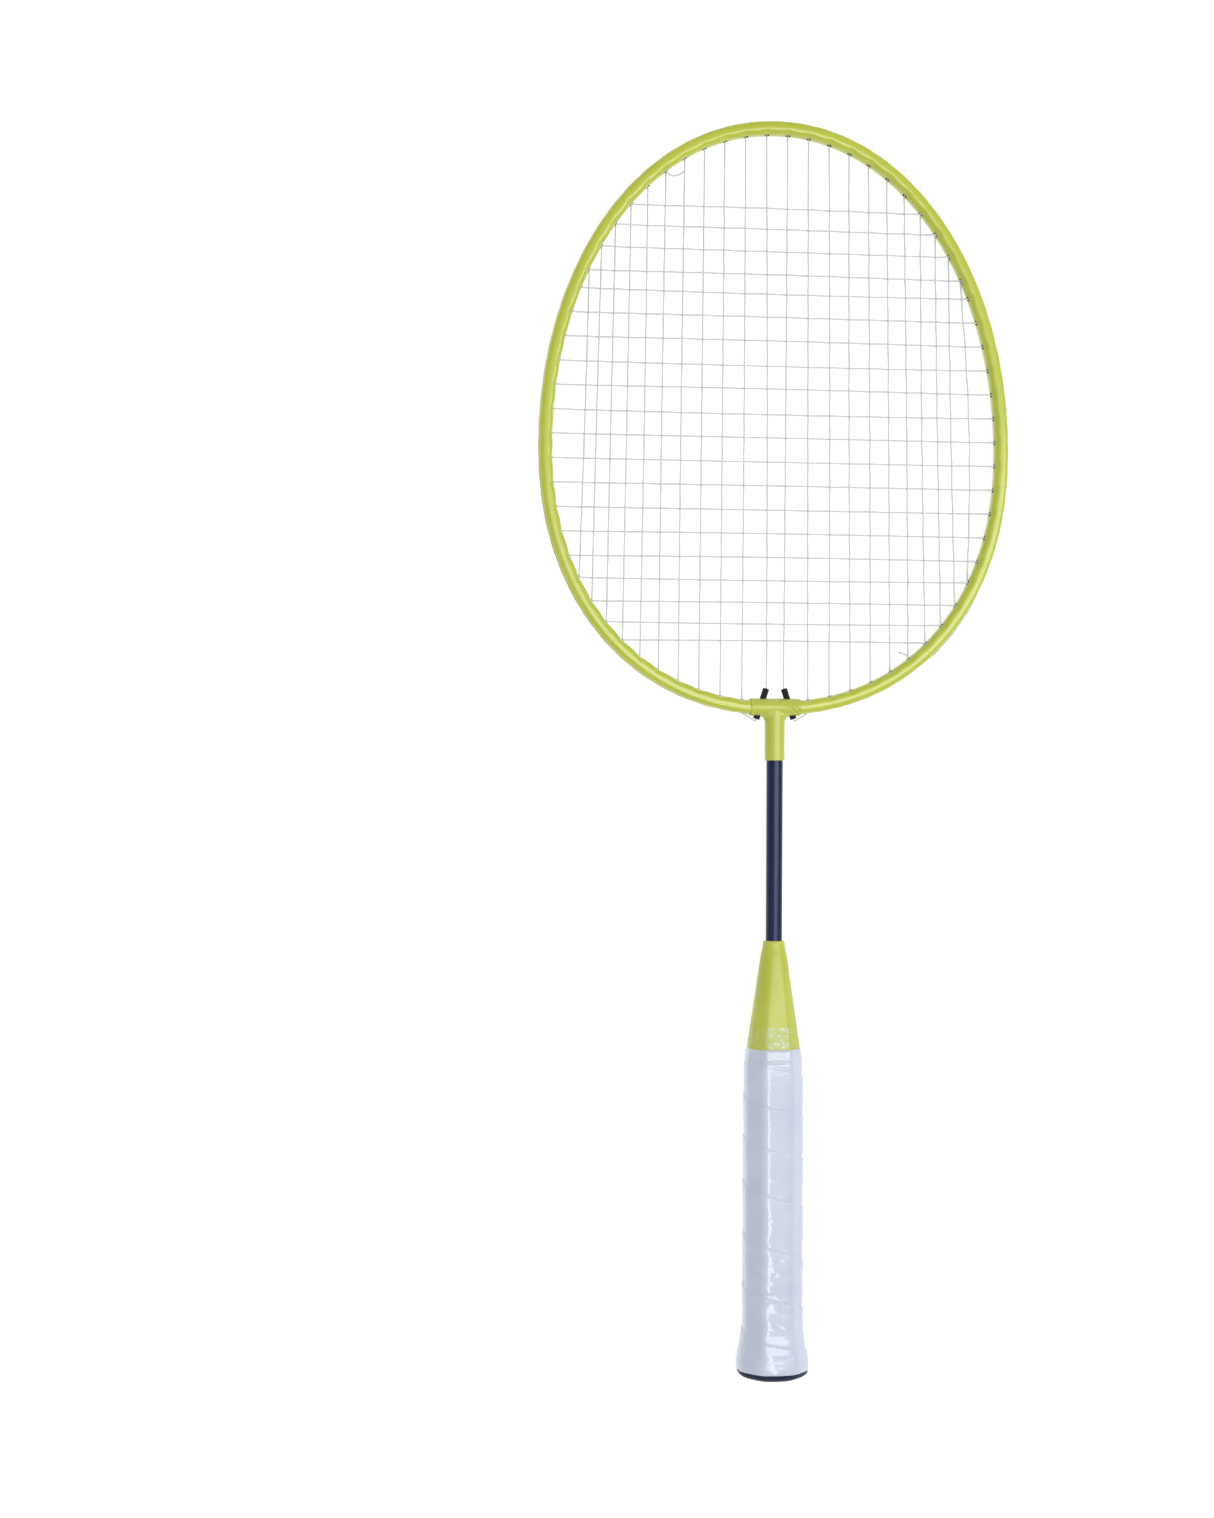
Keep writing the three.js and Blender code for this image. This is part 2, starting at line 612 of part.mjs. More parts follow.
function wrapTack() {
  const head = toSolid(tackBar(TACK_HEAD_RADIUS, TACK_HEAD_THICKNESS, 0));
  const tack = head.add(toSolid(tackBar(TACK_NAIL_RADIUS, TACK_LENGTH, -TACK_HEAD_THICKNESS / 2)));
  return mesh("wrap_tack", toGeometry(tack), 0x9a9da2, 0.35, 1);
}

// Clear film over the cone's base and the top of the grip.
function finishingTape() {
  const [wrapTop] = WRAP_PROFILE.at(-1);
  const inside = [
    [halfWidthAt(CONE_PROFILE, TAPE_TOP_Y) + GAP, TAPE_TOP_Y],
    [CONE_FOOT_HALF_WIDTH + GAP, CONE_FOOT_Y],
    [CONE_BASE_HALF_WIDTH + GAP, CONE_BASE_Y + 0.7],
    [wrapTop + GAP, WRAP_TOP_Y + GAP],
    [halfWidthAt(WRAP_PROFILE, TAPE_BOTTOM_Y) + GAP, TAPE_BOTTOM_Y],
  ];
  const outside = inside.map(([half, y]) => [half + TAPE_THICKNESS, y]).reverse();
  const sleeve = octagonal([...outside, ...inside, outside[0]]);
  return mesh("finishing_tape", sleeve, 0xe4e8da, 0.15, 0);
}

function buttCap() {
  const rim = WRAP_BOTTOM_Y - GAP;
  const cap = toSolid(octagonal([
    [0, 0],
    [4.5, 0],
    [9, 1],
    [12.5, 2.1],
    [14.2, 2.9],
    [15, 3.8],
    [15, rim],
    [0, rim],
  ]));
  const plugStart = new THREE.Vector3(0, rim - 1, 0);
  const plugEnd = new THREE.Vector3(0, WRAP_BOTTOM_Y + PLUG_DEPTH - 1, 0);
  const plug = bar(plugStart, plugEnd, PLUG_RADIUS, 16);
  return mesh("butt_cap", toGeometry(cap.add(toSolid(plug))), 0x191d2e, 0.5, 0);
}

// ---------------------------------------------------------------- the racket

const head = new THREE.Group();
head.add(headFrame(), mainString(), crossString());

const throat = new THREE.Group();
throat.add(tJoint(), throatTube("string_tube_left", -1), throatTube("string_tube_right", 1));

const handle = new THREE.Group();
handle.add(shaft(), cone(), handleCore(), handlePin(), gripWrap(), wrapTack(), finishingTape(), buttCap());

const racket = new THREE.Group();
racket.add(head, throat, handle);
racket.position.set(0, -RACKET_LENGTH / 2, REST_HEIGHT);

export default racket;
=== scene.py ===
import math
import random

import bpy
import numpy as np
from mathutils import Matrix, Vector, noise


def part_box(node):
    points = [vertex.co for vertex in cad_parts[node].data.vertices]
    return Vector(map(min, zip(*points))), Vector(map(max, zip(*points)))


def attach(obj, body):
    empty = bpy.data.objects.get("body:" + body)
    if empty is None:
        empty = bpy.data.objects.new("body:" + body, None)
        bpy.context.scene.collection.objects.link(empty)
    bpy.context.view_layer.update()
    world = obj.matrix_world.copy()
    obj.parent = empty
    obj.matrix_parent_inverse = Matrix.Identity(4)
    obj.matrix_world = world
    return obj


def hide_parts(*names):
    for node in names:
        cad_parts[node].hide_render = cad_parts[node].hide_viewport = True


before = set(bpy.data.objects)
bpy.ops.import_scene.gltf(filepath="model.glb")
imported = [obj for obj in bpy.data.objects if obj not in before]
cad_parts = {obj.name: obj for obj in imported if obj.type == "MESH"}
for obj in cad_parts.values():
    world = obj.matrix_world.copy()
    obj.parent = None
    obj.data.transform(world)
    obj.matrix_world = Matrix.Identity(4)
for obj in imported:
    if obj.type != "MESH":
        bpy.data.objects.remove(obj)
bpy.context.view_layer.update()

# A badminton racket lying flat. Shapes are worked out in millimetres in the racket's own space:
# y runs from the butt end to the head's tip, x across the head, and z = 0 in the plane of the head.
# to_metres() then puts them in the frame's space.
MM = 0.001
BUTT_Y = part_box("butt_cap")[0].y
PLANE_Z = (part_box("head_frame")[0].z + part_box("head_frame")[1].z) / 2
TAU = 2 * math.pi
rng = random.Random(21)


def to_metres(points):
    return np.asarray(points, dtype=float) * MM + np.array([0.0, BUTT_Y, PLANE_Z])


# ---------------------------------------------------------------- camera

CAMERA_DISTANCE = 0.93
VIEW_HEIGHT = 0.640
CAMERA_X = -0.0707
CAMERA_Y = -0.0039
CAMERA_ROLL = math.radians(7)
CAMERA_TURN = math.radians(0.25)

camera = bpy.data.objects.new("camera", bpy.data.cameras.new("camera"))
bpy.context.scene.collection.objects.link(camera)
camera.data.sensor_width = 36
camera.data.lens = 36 * CAMERA_DISTANCE / VIEW_HEIGHT
roll = Matrix.Rotation(-CAMERA_ROLL, 4, "Y")
camera.matrix_world = Matrix.Translation((0, 0, PLANE_Z)) @ roll @ Matrix.Translation(
    (CAMERA_X, CAMERA_Y, CAMERA_DISTANCE)) @ Matrix.Rotation(CAMERA_TURN, 4, "Z")
bpy.context.scene.camera = camera

# ---------------------------------------------------------------- dimensions

LENGTH = 530
HEAD_CENTRE_Y = 391.9
HEAD_HALF_WIDTH = 97.6
HEAD_BOTTOM_SEMI = 109.1
TOP_POWER, BOTTOM_POWER = 2.04, 2.15
TUBE_HALF_DEPTH, TUBE_HALF_WIDTH, TUBE_POWER = 3.8, 2.95, 2.7
GROOVE_HALF_WIDTH, GROOVE_DEPTH = 1.1, 1.0
LIP_OUT = TUBE_HALF_WIDTH * (1 - (GROOVE_HALF_WIDTH / TUBE_HALF_DEPTH) ** TUBE_POWER) ** (1 / TUBE_POWER)
GROOVE_FLOOR = LIP_OUT - GROOVE_DEPTH
INNER_FACE = TUBE_HALF_WIDTH * math.cos(math.radians(25)) ** (2 / TUBE_POWER)
HEAD_TOP_SEMI = LENGTH - HEAD_CENTRE_Y - LIP_OUT

STRING_RADIUS = 0.35
MAINS_PER_SIDE, CROSSES, SHARED_CROSSES = 11, 20, 4
FAN_STEP = math.radians(5.5)
FAN_TOP, FAN_BOTTOM = 94, 98.4
CROSS_FIRST_OWN_Y, CROSS_PITCH = 457.7, 10.16
MAIN_Z, CROSS_Z = -0.4, 0.4
MOUTH = -(INNER_FACE + 0.15)
IN_GROOVE = GROOVE_FLOOR + STRING_RADIUS + 0.2
OVER_GROOVE = IN_GROOVE + 0.85

SLEEVE_HALF_LENGTH, SLEEVE_RADIUS, SLEEVE_BORE = 10.65, 3.9, 3.58
SLEEVE_PRESS, SLEEVE_DEPTH_RATIO = 0.94, 1.15
STEM_BOTTOM_Y, STEM_RADIUS = 260.8, 4.18
THROAT_TUBE_TOP, THROAT_TUBE_BOTTOM = (3.8, 291, 0), (8, 278.3, 0)
THROAT_TUBE_RADIUS, THROAT_TUBE_BORE = 1.4, 0.65

SHAFT_RADIUS, SHAFT_BORE, SHAFT_BOTTOM_Y, SHAFT_TOP_Y = 3.45, 2.85, 60, 280
CONE_TOP_Y, CONE_BASE_Y = 184.9, 139.8
WRAP_TOP_Y, WRAP_BOTTOM_Y = 139.5, 5.0
WRAP_LIP_Y = CONE_BASE_Y - 0.02
TAPE_BOTTOM_Y, TAPE_TOP_Y = 134.7, 149.1
SPIGOT_RADIUS, SPIGOT_TOP_Y = 7.3, 150
PIN_Y, PIN_RADIUS = 95, 1.0
GAP = 0.15
DEPTH_RATIO, FRONT_FLAT_RATIO = 0.907, 1.136

# ---------------------------------------------------------------- mesh helpers


def add_object(name, vertices, faces, smooth=True):
    data = bpy.data.meshes.new(name)
    data.from_pydata([tuple(v) for v in to_metres(vertices)], [], faces)
    data.update()
    if smooth:
        data.shade_smooth()
    made = bpy.data.objects.new(name, data)
    bpy.context.scene.collection.objects.link(made)
    return made


def grid_faces(rows, columns, start=0, close_rows=False):
    """Quads of a tube: columns go round, rows go along. close_rows joins the last row to the first."""
    faces = []
    for r in range(rows if close_rows else rows - 1):
        for c in range(columns):
            a = start + r * columns + c
            b = start + r * columns + (c + 1) % columns
            up = (r + 1) % rows
            faces.append((a, b, start + up * columns + (c + 1) % columns, start + up * columns + c))
    return faces


def capped_tube(name, grid, smooth=True):
    """Closed body from rings of points, with a fan at each end."""
    rows, columns, _ = grid.shape
    vertices = np.concatenate([grid.reshape(-1, 3), [grid[0].mean(axis=0)], [grid[-1].mean(axis=0)]])
    faces = grid_faces(rows, columns)
    low, high = rows * columns, rows * columns + 1
    last = (rows - 1) * columns
    for c in range(columns):
        following = (c + 1) % columns
        faces.append((following, c, low))
        faces.append((last + c, last + following, high))
    return add_object(name, vertices, faces, smooth)


def closed_ring(name, grid, smooth=True):
    """Closed body from rings whose last row meets the first, such as a sleeve's outside and inside."""
    rows, columns, _ = grid.shape
    return add_object(name, grid.reshape(-1, 3), grid_faces(rows, columns, close_rows=True), smooth)


def sweep(name, points, radius, sides=10):
    """Round cord along points, its section carried along without twist."""
    points = np.asarray(points, dtype=float)
    legs = np.diff(points, axis=0)
    legs /= np.linalg.norm(legs, axis=1)[:, None]
    tangents = np.vstack([legs[:1], legs[:-1] + legs[1:], legs[-1:]])
    tangents /= np.linalg.norm(tangents, axis=1)[:, None]
    normal = np.cross(tangents[0], (0, 0, 1))
    normal /= np.linalg.norm(normal)
    angles = np.arange(sides) * TAU / sides
    radii = np.broadcast_to(radius, len(points))
    rings = []
    for point, tangent, r in zip(points, tangents, radii):
        normal = normal - tangent * np.dot(normal, tangent)
        normal /= np.linalg.norm(normal)
        across = np.cross(tangent, normal)
        rings.append(point + r * (np.outer(np.cos(angles), normal) + np.outer(np.sin(angles), across)))
    return capped_tube(name, np.array(rings))


def bar(name, start, end, radius, sides=24):
    start, end = np.array(start, dtype=float), np.array(end, dtype=float)
    return sweep(name, [start, end], radius, sides)


def turned(name, profile, sides=64):
    """Closed ring body about the long axis, from (radius, y) pairs that close on themselves."""
    angles = np.arange(sides) * TAU / sides
    rings = [
        np.column_stack([r * np.sin(angles), np.full(sides, y), r * np.cos(angles)]) for r, y in profile
    ]
    return closed_ring(name, np.array(rings))


def join(name, objects):
    bpy.ops.object.select_all(action="DESELECT")
    for item in objects:
        item.select_set(True)
    bpy.context.view_layer.objects.active = objects[0]
    bpy.ops.object.join()
    objects[0].name = name
    return objects[0]


def apply_modifiers(piece):
    depsgraph = bpy.context.evaluated_depsgraph_get()
    data = bpy.data.meshes.new_from_object(piece.evaluated_get(depsgraph))
    piece.modifiers.clear()
    piece.data = data


def cut(piece, cutter):
    difference = piece.modifiers.new("cut", "BOOLEAN")
    difference.operation = "DIFFERENCE"
    difference.solver = "MANIFOLD"
    difference.object = cutter
    apply_modifiers(piece)
    bpy.data.objects.remove(cutter)


def soft_edges(piece, degrees=35):
    """Smooth shading with the edges sharper than this kept crisp."""
    piece.data.shade_smooth()
    piece.data.set_sharp_from_angle(angle=math.radians(degrees))


def dress(piece, material, slot, *nodes):
    piece.data.materials.clear()
    piece.data.materials.append(material)
    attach(piece, "root")
    if nodes:
        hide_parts(*nodes)
    return piece


# ---------------------------------------------------------------- material helpers


def new_material(name, color, roughness, **inputs):
    material = bpy.data.materials.new(name)
    material.use_nodes = True
    shader = material.node_tree.nodes["Principled BSDF"]
    shader.inputs["Base Color"].default_value = (*color, 1)
    shader.inputs["Roughness"].default_value = roughness
    for key, value in inputs.items():
        shader.inputs[key.replace("_", " ")].default_value = value
    return material, shader


def add_node(material, kind, **settings):
    node = material.node_tree.nodes.new(kind)
    for key, value in settings.items():
        setattr(node, key, value)
    return node


def link(material, source, target):
    material.node_tree.links.new(source, target)


def object_noise(material, scale, detail=2.0, stretch=(1, 1, 1), distortion=0.0):
    """Noise in the racket's own space. scale is in features per metre."""
    place = add_node(material, "ShaderNodeTexCoord")
    mapping = add_node(material, "ShaderNodeMapping")
    mapping.inputs["Scale"].default_value = stretch
    texture = add_node(material, "ShaderNodeTexNoise")
    texture.inputs["Scale"].default_value = scale
    texture.inputs["Detail"].default_value = detail
    texture.inputs["Distortion"].default_value = distortion
    link(material, place.outputs["Object"], mapping.inputs["Vector"])
    link(material, mapping.outputs["Vector"], texture.inputs["Vector"])
    return texture.outputs["Fac"]


def vary_color(material, shader, factor, dark, light, low=0.3, high=0.7):
    ramp = add_node(material, "ShaderNodeValToRGB")
    ramp.color_ramp.elements[0].position = low
    ramp.color_ramp.elements[0].color = (*dark, 1)
    ramp.color_ramp.elements[1].position = high
    ramp.color_ramp.elements[1].color = (*light, 1)
    link(material, factor, ramp.inputs["Fac"])
    link(material, ramp.outputs["Color"], shader.inputs["Base Color"])
    return ramp


def vary_roughness(material, shader, factor, low, high):
    spread = add_node(material, "ShaderNodeMapRange")
    spread.inputs["To Min"].default_value = low
    spread.inputs["To Max"].default_value = high
    link(material, factor, spread.inputs["Value"])
    link(material, spread.outputs["Result"], shader.inputs["Roughness"])


def add_bump(material, shader, factor, height_mm, strength=1.0):
    bump = add_node(material, "ShaderNodeBump")
    bump.inputs["Strength"].default_value = strength
    bump.inputs["Distance"].default_value = height_mm * MM
    link(material, factor, bump.inputs["Height"])
    if shader.inputs["Normal"].links:
        link(material, shader.inputs["Normal"].links[0].from_socket, bump.inputs["Normal"])
    link(material, bump.outputs["Normal"], shader.inputs["Normal"])


# ---------------------------------------------------------------- materials


def frame_paint():
    material, shader = new_material(
        "lime_paint", (0.46, 0.51, 0.04), 0.36, Coat_Weight=0.4, Coat_Roughness=0.12)
    vary_color(material, shader, object_noise(material, 28, 3), (0.435, 0.495, 0.034), (0.48, 0.53, 0.045))
    vary_roughness(material, shader, object_noise(material, 900, 2), 0.22, 0.4)
    add_bump(material, shader, object_noise(material, 420, 2), 0.12, 0.5)
    add_bump(material, shader, object_noise(material, 1700, 1), 0.03, 0.4)
    return material


def bore_painted_shade():
    """Painted shade for the walls of the drilled string holes, where bare steel is left: coloured near black
    to stand for the shade, since little light reaches inside.
    """
    material, shader = new_material("bore_painted_shade", (0.03, 0.032, 0.02), 0.6)
    vary_color(material, shader, object_noise(material, 1200, 2), (0.01, 0.011, 0.006), (0.03, 0.032, 0.018))
    return material


def joint_paint():
    material, shader = new_material(
        "joint_paint", (0.47, 0.51, 0.062), 0.36, Coat_Weight=0.12, Coat_Roughness=0.15)
    vary_color(material, shader, object_noise(material, 90, 3), (0.445, 0.487, 0.052), (0.49, 0.53, 0.072))
    add_bump(material, shader, object_noise(material, 500, 3), 0.12, 0.5)
    return material


def cone_plastic():
    material, shader = new_material("cone_plastic", (0.48, 0.52, 0.055), 0.3)
    vary_color(material, shader, object_noise(material, 60, 3), (0.43, 0.475, 0.05), (0.475, 0.515, 0.07))
    vary_roughness(material, shader, object_noise(material, 700, 3), 0.3, 0.45)
    add_bump(material, shader, object_noise(material, 900, 2), 0.05, 0.4)
    return material


def string_nylon():
    material, shader = new_material("string_nylon", (0.56, 0.59, 0.62), 0.3)
    vary_color(material, shader, object_noise(material, 300, 2), (0.545, 0.57, 0.6), (0.583, 0.61, 0.636))
    add_bump(material, shader, object_noise(material, 3500, 1), 0.02, 0.3)
    return material


def tube_rubber():
    material, shader = new_material("tube_rubber", (0.008, 0.009, 0.01), 0.55, Specular_IOR_Level=0.2)
    specks = object_noise(material, 1500, 2)
    vary_color(material, shader, specks, (0.004, 0.005, 0.006), (0.014, 0.015, 0.017))
    add_bump(material, shader, object_noise(material, 2500, 2), 0.05, 0.6)
    return material


def shaft_paint():
    material, shader = new_material("shaft_paint", (0.005, 0.014, 0.062), 0.25, Specular_IOR_Level=0.24)
    vary_color(material, shader, object_noise(material, 250, 3), (0.004, 0.012, 0.054), (0.006, 0.016, 0.068))
    vary_roughness(material, shader, object_noise(material, 900, 2, stretch=(1, 0.06, 1)), 0.16, 0.3)
    add_bump(material, shader, object_noise(material, 700, 2), 0.03, 0.4)
    return material


def grip_leatherette():
    material, shader = new_material(
        "grip_leatherette", (0.56, 0.62, 0.75), 0.34, Sheen_Weight=0.1, Coat_Weight=0.6, Coat_Roughness=0.1)
    vary_color(material, shader, object_noise(material, 70, 4), (0.485, 0.538, 0.66), (0.53, 0.577, 0.69))
    vary_roughness(material, shader, object_noise(material, 400, 3), 0.3, 0.48)
    add_bump(material, shader, object_noise(material, 1300, 3), 0.08, 0.5)
    add_bump(material, shader, object_noise(material, 260, 3, stretch=(1, 2.2, 1), distortion=0.6), 0.3, 0.35)
    add_bump(material, shader, object_noise(material, 95, 2, stretch=(1, 0.5, 1), distortion=0.8), 1.2, 0.3)
    return material


def clear_tape():
    """Almost clear film that shows pale where air is trapped under it. The pale is kept mostly to faces that
    look straight up or down, as on the cone's front flat; this part is painted sheen where the light falls.
    """
    material, shader = new_material("clear_tape", (0.9, 0.93, 0.84), 0.35)
    bubbles = object_noise(material, 640, 4, distortion=0.5)
    vary_color(material, shader, bubbles, (0.7, 0.77, 0.42), (0.84, 0.9, 0.66))
    clarity = add_node(material, "ShaderNodeMapRange")
    clarity.inputs["From Min"].default_value = 0.42
    clarity.inputs["From Max"].default_value = 0.64
    clarity.inputs["To Min"].default_value = 0.05
    clarity.inputs["To Max"].default_value = 0.6
    link(material, bubbles, clarity.inputs["Value"])
    coordinates = add_node(material, "ShaderNodeTexCoord")
    split = add_node(material, "ShaderNodeSeparateXYZ")
    steepness = add_node(material, "ShaderNodeMath", operation="ABSOLUTE")
    # Painted sheen: the pale film shows more where its face looks straight up or down, where the light falls.
    painted_sheen_on_flat = add_node(material, "ShaderNodeMapRange")
    painted_sheen_on_flat.inputs["From Min"].default_value = 0.86
    painted_sheen_on_flat.inputs["From Max"].default_value = 0.97
    painted_sheen_on_flat.inputs["To Min"].default_value = 0.15
    bubbles_and_sheen = add_node(material, "ShaderNodeMath", operation="MULTIPLY")
    link(material, coordinates.outputs["Normal"], split.inputs["Vector"])
    link(material, split.outputs["Z"], steepness.inputs[0])
    link(material, steepness.outputs["Value"], painted_sheen_on_flat.inputs["Value"])
    link(material, clarity.outputs["Result"], bubbles_and_sheen.inputs[0])
    link(material, painted_sheen_on_flat.outputs["Result"], bubbles_and_sheen.inputs[1])
    place = add_node(material, "ShaderNodeSeparateXYZ")
    over_cone = add_node(material, "ShaderNodeMapRange")
    base = to_metres((0, CONE_BASE_Y, 0))[1]
    over_cone.inputs["From Min"].default_value = base
    over_cone.inputs["From Max"].default_value = base + 0.6 * MM
    over_cone.inputs["To Min"].default_value = 0.12
    shown = add_node(material, "ShaderNodeMath", operation="MULTIPLY")
    link(material, coordinates.outputs["Object"], place.inputs["Vector"])
    link(material, place.outputs["Y"], over_cone.inputs["Value"])
    link(material, bubbles_and_sheen.outputs["Value"], shown.inputs[0])
    link(material, over_cone.outputs["Result"], shown.inputs[1])
    link(material, shown.outputs["Value"], shader.inputs["Alpha"])
    add_bump(material, shader, bubbles, 0.08, 0.5)
    return material


def cap_plastic():
    material, shader = new_material("cap_plastic", (0.014, 0.018, 0.045), 0.45, Specular_IOR_Level=0.18)
    vary_color(material, shader, object_noise(material, 500, 2), (0.011, 0.014, 0.036), (0.022, 0.027, 0.06))
    add_bump(material, shader, object_noise(material, 1800, 2), 0.06, 0.5)
    return material


def core_wood():
    material, shader = new_material("core_wood", (0.5, 0.33, 0.17), 0.7)
    grain = object_noise(material, 500, 4, stretch=(1, 0.06, 1))
    vary_color(material, shader, grain, (0.4, 0.25, 0.12), (0.58, 0.4, 0.22))
    add_bump(material, shader, grain, 0.1, 0.6)
    return material


def bright_steel():
    material, shader = new_material("bright_steel", (0.6, 0.61, 0.63), 0.3, Metallic=1.0)
    vary_roughness(material, shader, object_noise(material, 2000, 2, stretch=(0.1, 1, 1)), 0.22, 0.42)
    return material


def floor_paper():
    material, shader = new_material("floor_paper", (0.4, 0.4, 0.4), 0.8, Emission_Strength=0.78)
    shader.inputs["Emission Color"].default_value = (1, 1, 1, 1)
    add_bump(material, shader, object_noise(material, 900, 2), 0.05, 0.2)
    return material


# ---------------------------------------------------------------- head outline and its holes


def head_centreline(angle):
    """Point on the frame tube's centreline. Angle 0 is the right side and a quarter turn the tip."""
    power = TOP_POWER if math.sin(angle) > 0 else BOTTOM_POWER
    semi = HEAD_TOP_SEMI if math.sin(angle) > 0 else HEAD_BOTTOM_SEMI
    x = math.copysign(abs(math.cos(angle)) ** (2 / power), math.cos(angle))
    y = math.copysign(abs(math.sin(angle)) ** (2 / power), math.sin(angle))
    return np.array([HEAD_HALF_WIDTH * x, HEAD_CENTRE_Y + semi * y, 0.0])


def head_normal(angle):
    power = TOP_POWER if math.sin(angle) > 0 else BOTTOM_POWER
    semi = HEAD_TOP_SEMI if math.sin(angle) > 0 else HEAD_BOTTOM_SEMI
    point = head_centreline(angle)
    x = abs(point[0] / HEAD_HALF_WIDTH) ** (power - 1) / HEAD_HALF_WIDTH
    y = abs((point[1] - HEAD_CENTRE_Y) / semi) ** (power - 1) / semi
    normal = np.array([math.copysign(x, point[0]), math.copysign(y, point[1] - HEAD_CENTRE_Y), 0.0])
    return normal / np.linalg.norm(normal)


def at_hole(angle, out, z=0.0, side=1):
    """Point on a string hole's axis, out from the tube's centreline, mirrored for the left side."""
    point = head_centreline(angle) + head_normal(angle) * out
    return np.array([point[0] * side, point[1], z])


def hole_where(axis, wanted, low, high):
    rising = at_hole(high, MOUTH)[axis] > at_hole(low, MOUTH)[axis]
    for _ in range(40):
        middle = (low + high) / 2
        if (at_hole(middle, MOUTH)[axis] > wanted) == rising:
            high = middle
        else:
            low = middle
    return (low + high) / 2


QUARTER = math.pi / 2
fans = [math.sin(FAN_STEP * (i + 0.5)) for i in range(MAINS_PER_SIDE)]
top_holes = [hole_where(0, FAN_TOP * fan, 0.01, QUARTER - 0.01) for fan in fans]
bottom_holes = [hole_where(0, FAN_BOTTOM * fan, 0.01 - QUARTER, -0.01) for fan in fans]
own_cross_holes = [
    hole_where(1, CROSS_FIRST_OWN_Y - i * CROSS_PITCH, 0.01 - QUARTER, QUARTER - 0.01)
    for i in range(CROSSES - 2 * SHARED_CROSSES)
]
cross_holes = [
    *top_holes[MAINS_PER_SIDE - SHARED_CROSSES:],
    *own_cross_holes,
    *reversed(bottom_holes[MAINS_PER_SIDE - SHARED_CROSSES:]),
]
string_holes = [*top_holes, *own_cross_holes, *bottom_holes[1:]]
SOCKET_Y = head_centreline(hole_where(0, SLEEVE_HALF_LENGTH, 0.01 - QUARTER, -0.01))[1]

# ---------------------------------------------------------------- head frame

# The tube is drawn in a little round each string hole. On its inner side this shows only on the
# upper half, where the wall also swells a little between the holes.
FRAME_STATIONS = 1260
SCALLOP_DEPTH = 0.62
SCALLOP_LENGTH = 2.3
OUTER_DIP, INNER_SWELL = 0.1, 0.12
UPPER_START, UPPER_RISE = 0.15, 1.1
HOLE_RADIUS = 0.98
BORE_REACH = 3.0


def tube_section():
    """(u, v) round the rolled tube: u through the racket, v outwards, with the string groove at the top."""
    points = []
    for u in np.linspace(-1, 1, 9)[1:-1]:
        points.append((u * GROOVE_HALF_WIDTH, LIP_OUT - GROOVE_DEPTH * (1 - u**4) ** 0.5))
    lip_angle = math.asin((GROOVE_HALF_WIDTH / TUBE_HALF_DEPTH) ** (TUBE_POWER / 2))
    for angle in np.linspace(lip_angle, TAU - lip_angle, 46):
        u = math.copysign(abs(math.sin(angle)) ** (2 / TUBE_POWER), math.sin(angle))
        v = math.copysign(abs(math.cos(angle)) ** (2 / TUBE_POWER), math.cos(angle))
        points.append((TUBE_HALF_DEPTH * u, TUBE_HALF_WIDTH * v))
    return np.array(points)


def head_frame():
    bend = math.asin(((HEAD_CENTRE_Y - SOCKET_Y) / HEAD_BOTTOM_SEMI) ** (BOTTOM_POWER / 2))
    angles = np.linspace(-math.pi + bend, -TAU - bend, FRAME_STATIONS)
    centres = [head_centreline(a) for a in angles]
    normals = [head_normal(a) for a in angles]
    for x, outwards in ((-1.0, 0), (1.0, len(centres) + 1)):
        centres.insert(outwards, np.array([x, SOCKET_Y, 0.0]))
        normals.insert(outwards, np.array([0.0, -1.0, 0.0]))
    centres, normals = np.array(centres), np.array(normals)
    holes = np.array([at_hole(a, 0, 0, side) for a in string_holes for side in (-1, 1)])
    apart = np.linalg.norm(centres[:, None] - holes[None], axis=2).min(axis=1)
    dip = np.exp(-((apart / SCALLOP_LENGTH) ** 2))
    section = tube_section()
    inward = np.clip(-section[:, 1] / TUBE_HALF_WIDTH, 0, 1) ** 1.3
    upper = np.clip(UPPER_START + UPPER_RISE * section[:, 0] / TUBE_HALF_DEPTH, 0, 1)
    inward *= upper
    outward = np.clip(section[:, 1] / TUBE_HALF_WIDTH, 0, 1)
    v = section[None, :, 1] + dip[:, None] * (SCALLOP_DEPTH * inward - OUTER_DIP * outward)[None]
    v -= INNER_SWELL * (1 - dip[:, None]) * inward[None]
    u = np.broadcast_to(section[None, :, 0], v.shape)
    grid = centres[:, None] + normals[:, None] * v[:, :, None]
    grid[:, :, 2] = u
    shell = capped_tube("frame_shell", grid)
    reach = TUBE_HALF_WIDTH + 1.5
    drills = [
        bar("drill", at_hole(a, -reach, 0, side), at_hole(a, reach, 0, side), HOLE_RADIUS, 20)
        for a in string_holes for side in (-1, 1)
    ]
    drills += [throat_bar("drill", side, THROAT_TUBE_RADIUS + 0.1, 2) for side in (-1, 1)]
    cut(shell, join("drills", drills))
    soft_edges(shell, 50)
    dress(shell, frame_paint(), "frame_paint", "head_frame")
    # Second material: near-black painted shade on the walls of the string holes.
    shell.data.materials.append(bore_painted_shade())
    paint_bore_shade(shell)
    return shell


